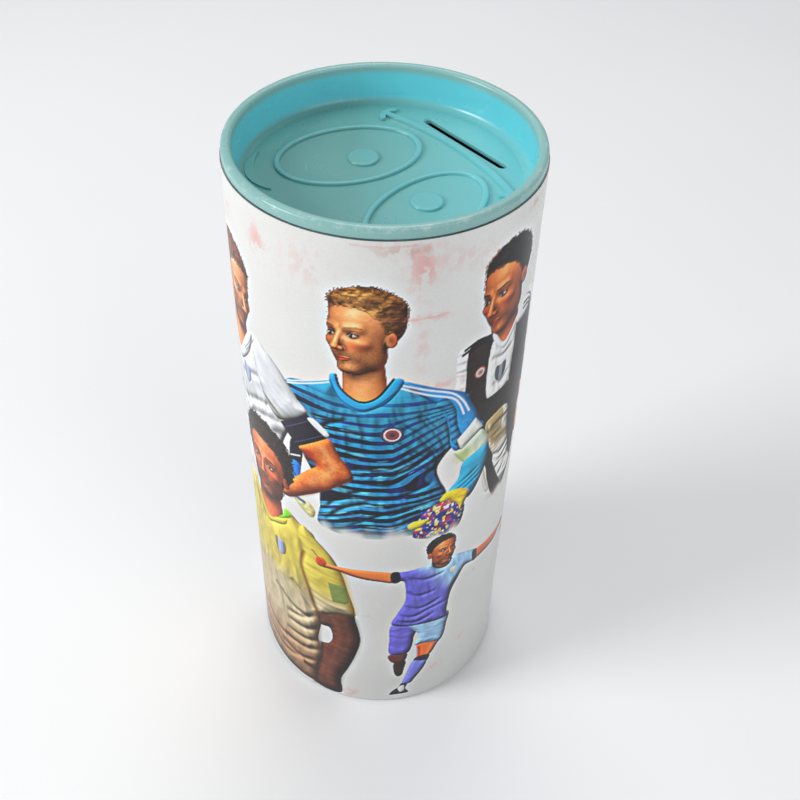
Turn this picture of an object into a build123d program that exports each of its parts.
from build123d import *
from math import cos, radians, sin
import os

# Tin money box: a rolled tinplate tube with a printed wrap, a base disc held by the
# tube's turned-in foot, and a moulded push-in lid with a face and a coin slot.
# Millimetres. The origin is the middle of the foot, +Z is up and -Y is the front.

os.makedirs("parts", exist_ok=True)

# Driving dimensions
outer_radius = 37.5          # over the printed wrap
overall_height = 177.5       # foot to the top of the lid's rim
sheet = 0.3                  # tinplate thickness
wrap_thickness = 0.15
lid_rim_height = 2.8         # the part of the lid that shows above the tube
recess_depth = 9.6           # lid's floor below its rim
slot_length = 28.5
slot_width = 2.2

# Tube
tube_radius = outer_radius - wrap_thickness
bore_radius = tube_radius - sheet
tube_top = overall_height - lid_rim_height
foot_lip_width = 2.4         # tin turned in under the base
foot_bend = 0.6              # outside radius of that bend
seam_lap = 5.0               # width of the side seam's second layer
seam_bottom = 4.0            # the lap is notched away clear of the base
seam_top = 160.0             # and clear of the lid's plug

# Wrap
wrap_bottom = 0.9            # a line of bare tin shows under the wrap
wrap_top = tube_top - 0.05
wrap_gap = 0.5               # butt joint down the back

# Base disc
base_radius = bore_radius - foot_bend + sheet     # clear of the inside of the tube's bend
base_rise = 2.3              # panel above the rim it stands on
base_step_radius = 33.6
bead_radius = 24.0           # stiffening ring pressed into the panel
bead_width = 3.0
bead_height = 0.6

# Lid
seat_gap = 0.1               # the rim sits a little off the tube's cut edge
rim_radius = outer_radius - 0.3
rim_inner_radius = rim_radius - 2.3
rim_round = 0.9
floor_radius = 34.2
floor_fillet = 2.0
floor_top = overall_height - recess_depth
floor_thickness = 1.25
plug_radius = bore_radius - 0.27
plug_wall = 1.4
skirt_depth = 2.5            # plug below the floor's underside
snap_bead = 0.12             # how far the retaining bead stands out of the plug
rib_width = 1.5
rib_height = 0.7
rib_round = 0.45
pupil_height = 0.6
pupil_radius = 3.8

# Face on the lid's floor, seen from above: (x, y), half length, half width, tilt of the long axis
eyes = [
    ((-8.6, 7.5), 17.6, 12.1, 23.5),
    ((9.5, -15.3), 17.8, 10.3, 52.0),
]
pupils = [(-5.1, 6.1), (9.6, -12.4)]
smile_ends = [(0.2, 27.1), (28.8, -9.0)]
smile_middle = (15.9, 13.0)
smile_cap_length = 4.8
smile_cap_sag = 1.0
slot_middle = (19.3, 14.3)
slot_tilt = -50.5
slot_bevel = 0.4             # flare at the slot's top edge
cheek_tips = [(-29.9, 7.9), (-25.7, -8.5)]        # raised crescent by the wall
cheek_outer = (-32.6, 0.0)
cheek_inner = (-30.0, -1.2)
cheek_height = 0.45


def ring(inner, outer, bottom, top):
    """A plain tube between two radii and two heights."""
    with BuildPart() as part:
        with BuildSketch(Plane.XY.offset(bottom)):
            Circle(outer)
            Circle(inner, mode=Mode.SUBTRACT)
        extrude(amount=top - bottom)
    return part.part


def turned(points, fillets):
    """Revolve a closed (radius, height) outline about Z, with some corners rounded first.

    fillets holds (corner point, radius) pairs.
    """
    outline = make_face(Polyline(*points, close=True))
    for corner, radius in fillets:
        vertex = outline.vertices().sort_by_distance(Vector(*corner))[0]
        outline = fillet(vertex, radius)
    upright = Plane.XZ * outline
    return revolve(upright, Axis.Z)


def tin_tube():
    """Rolled sheet with its foot turned in and the side seam's lap inside at the back."""
    tube = turned(
        [
            (tube_radius - foot_lip_width, 0),
            (tube_radius, 0),
            (tube_radius, tube_top),
            (bore_radius, tube_top),
            (bore_radius, sheet),
            (tube_radius - foot_lip_width, sheet),
        ],
        [((tube_radius, 0), foot_bend), ((bore_radius, sheet), foot_bend - sheet)],
    )
    lap = ring(bore_radius - sheet, bore_radius + sheet / 2, seam_bottom, seam_top)
    strip = Pos(0, bore_radius, overall_height / 2) * Box(seam_lap, 4 * sheet, overall_height)
    return tube + (lap & strip)


def printed_wrap():
    """Glossy printed sheet glued round the tube, with its edges meeting at the back."""
    sleeve = ring(tube_radius, outer_radius, wrap_bottom, wrap_top)
    joint = Pos(0, outer_radius, overall_height / 2) * Box(wrap_gap, 2, 2 * overall_height)
    return sleeve - joint


def tin_base():
    """Pressed disc: a rim that stands on the tube's foot lip, a step up and a beaded panel."""
    panel = sheet + base_rise
    bead_in = bead_radius - bead_width / 2
    bead_out = bead_radius + bead_width / 2
    slope = bead_height
    top = [
        (base_radius, 2 * sheet),
        (base_step_radius, 2 * sheet),
        (base_step_radius, panel + sheet),
        (bead_out, panel + sheet),
        (bead_out - slope, panel + sheet + bead_height),
        (bead_in + slope, panel + sheet + bead_height),
        (bead_in, panel + sheet),
        (0, panel + sheet),
    ]
    underside = [
        (0, panel),
        (bead_in + sheet / 2, panel),
        (bead_in + slope + sheet / 2, panel + bead_height),
        (bead_out - slope - sheet / 2, panel + bead_height),
        (bead_out - sheet / 2, panel),
        (base_step_radius - sheet, panel),
        (base_step_radius - sheet, sheet),
        (base_radius, sheet),
    ]
    corners = [((base_step_radius, panel + sheet), 0.8), ((base_step_radius - sheet, panel), 0.5)]
    return turned(top + underside, corners)


def lid_shell():
    """Rim, recess and plug of the lid, turned about its axis."""
    floor_under = floor_top - floor_thickness
    plug_bottom = floor_under - skirt_depth
    plug_inner = plug_radius - plug_wall
    rim_under = tube_top + seat_gap
    bead_middle = floor_under + 1.5
    outline = [
        (0, floor_under),
        (plug_inner, floor_under),
        (plug_inner, plug_bottom),
        (plug_radius, plug_bottom),
        (plug_radius, bead_middle - 0.8),
        (plug_radius + snap_bead, bead_middle - 0.2),
        (plug_radius + snap_bead, bead_middle + 0.2),
        (plug_radius, bead_middle + 0.8),
        (plug_radius, rim_under),
        (rim_radius, rim_under),
        (rim_radius, overall_height),
        (rim_inner_radius, overall_height),
        (floor_radius, floor_top),
        (0, floor_top),
    ]
    rounds = [
        ((rim_radius, overall_height), rim_round),
        ((rim_inner_radius, overall_height), rim_round),
        ((floor_radius, floor_top), floor_fillet),
        ((rim_radius, rim_under), 0.3),
        ((plug_radius, plug_bottom), 0.6),
        ((plug_inner, plug_bottom), 0.4),
    ]
    return turned(outline, rounds)


def raised(sketch, height):
    """Extrude a flat figure up from just inside the lid's floor."""
    return extrude(Plane.XY.offset(floor_top - 0.2) * sketch, amount=height + 0.2)


def eye(centre, half_length, half_width, tilt):
    """Oval rib, rounded on top."""
    half_rib = rib_width / 2
    oval = Ellipse(half_length + half_rib, half_width + half_rib)
    oval -= Ellipse(half_length - half_rib, half_width - half_rib)
    rib = raised(Pos(*centre) * Rot(0, 0, tilt) * oval, rib_height)
    return fillet(rib.faces().sort_by(Axis.Z)[-1].edges(), rib_round)


def pupil(centre):
    """Low round pad."""
    pad = raised(Pos(*centre) * Circle(pupil_radius), pupil_height)
    return fillet(pad.faces().sort_by(Axis.Z)[-1].edges(), rib_round)


def arc_rib(start, middle, end):
    """Rib with round ends along a three-point arc."""
    line = ThreePointArc(start, middle, end)
    rib = trace(line, rib_width)
    ends = [Pos(line @ place) * Circle(rib_width / 2) for place in (0, 1)]
    return raised(rib + ends, rib_height)


def smile():
    """Wide arc between the eyes and the slot, with a short curved rib across each end."""
    parts = [arc_rib(smile_ends[0], smile_middle, smile_ends[1])]
    centre_line = ThreePointArc(smile_ends[0], smile_middle, smile_ends[1])
    for place, outward in ((0, -1), (1, 1)):
        tip = centre_line @ place
        along = (centre_line % place) * outward
        across = Vector(-along.Y, along.X)
        crest = tip + along * smile_cap_sag / 2
        low = tip - along * smile_cap_sag / 2
        half = across * smile_cap_length / 2
        parts.append(arc_rib(low - half, crest, low + half))
    return parts


def cheek():
    """Raised crescent beside the recess wall."""
    start, end = cheek_tips
    outline = ThreePointArc(start, cheek_outer, end) + ThreePointArc(end, cheek_inner, start)
    return raised(make_face(outline), cheek_height)


def slot_cutter():
    """Long round-ended cut through the floor, flared where it opens on top."""
    place = Pos(*slot_middle) * Rot(0, 0, slot_tilt)
    hole = place * SlotOverall(slot_length, slot_width)
    through = extrude(Plane.XY.offset(floor_top - 2 * floor_thickness) * hole, amount=3 * floor_thickness)
    mouth = place * SlotOverall(slot_length + 2 * slot_bevel, slot_width + 2 * slot_bevel)
    flare = extrude(Plane.XY.offset(floor_top) * mouth, amount=-slot_bevel, taper=45)
    return through + flare


def lid():
    """The whole moulding: shell, face and slot."""
    body = lid_shell()
    body -= slot_cutter()
    for centre, half_length, half_width, tilt in eyes:
        body += eye(centre, half_length, half_width, tilt)
    for centre in pupils:
        body += pupil(centre)
    for rib in smile():
        body += rib
    body += cheek()
    return body


export_step(tin_tube(), "parts/tin_tube.step")
export_step(printed_wrap(), "parts/printed_wrap.step")
export_step(tin_base(), "parts/tin_base.step")
export_step(lid(), "parts/lid.step")
